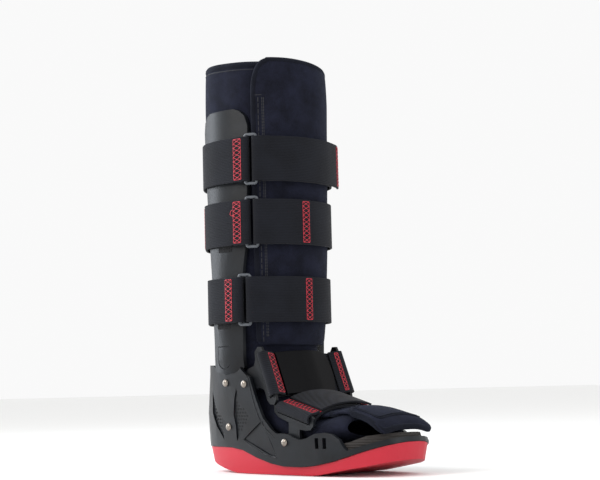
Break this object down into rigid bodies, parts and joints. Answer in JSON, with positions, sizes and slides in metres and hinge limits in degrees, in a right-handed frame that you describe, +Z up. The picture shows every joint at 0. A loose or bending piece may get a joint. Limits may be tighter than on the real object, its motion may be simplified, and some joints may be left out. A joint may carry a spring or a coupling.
{
  "type": "medical walking boot",
  "caption": "Tall orthopaedic walking boot: rocker sole, stiff base shell, two side uprights, padded open-toe liner and ringed hook-and-loop straps.",
  "frame": {"origin": "on the ground under the leg's centre line, on the sole's flat", "axes": "+X to the toe, +Y to the medial side, +Z up along the leg; the buckled, lateral side faces -Y"},
  "size_m": [0.2671, 0.135, 0.419],
  "materials": {
    "liner_cloth": "navy brushed loop cloth over foam",
    "shell_plastic": "dark grey moulded plastic, fine satin grain",
    "webbing": "dark grey woven strap with red cross stitching",
    "satin_cover": "black smooth padded cover",
    "ring_plastic": "grey moulded plastic, half gloss",
    "sole_rubber": "red moulded rubber",
    "footbed_foam": "dark ribbed foam",
    "rivet_metal": "darkened steel, domed",
    "hook_tape": "black hook tape"
  },
  "bodies": {
    "root": {"liner": "liner_cloth", "leg_flap": "liner_cloth", "toe_flap": "liner_cloth", "base_shell": "shell_plastic", "outsole": "sole_rubber", "footbed": "footbed_foam", "upright_lateral": "shell_plastic", "hook_patch_middle_lateral": "hook_tape", "hook_patch_lower_lateral": "hook_tape", "ankle_bracket_lateral": "shell_plastic", "forefoot_bracket_lateral": "shell_plastic", "rivet_upright_lateral": "rivet_metal", "rivet_ankle_bracket_lateral": "rivet_metal", "rivet_heel_lateral": "rivet_metal", "rivet_forefoot_bracket_lateral": "rivet_metal", "upright_medial": "shell_plastic", "hook_patch_middle_medial": "hook_tape", "hook_patch_lower_medial": "hook_tape", "ankle_bracket_medial": "shell_plastic", "forefoot_bracket_medial": "shell_plastic", "rivet_upright_medial": "rivet_metal", "rivet_ankle_bracket_medial": "rivet_metal", "rivet_heel_medial": "rivet_metal", "rivet_forefoot_bracket_medial": "rivet_metal", "strap_top": "webbing", "ring_top": "ring_plastic", "strap_middle": "webbing", "ring_middle": "ring_plastic", "strap_lower": "webbing", "ring_lower": "ring_plastic", "ankle_strap": "webbing", "forefoot_strap": "webbing", "forefoot_strap_outer": "webbing", "ankle_strap_cover": "satin_cover"}
  },
  "joints": []
}
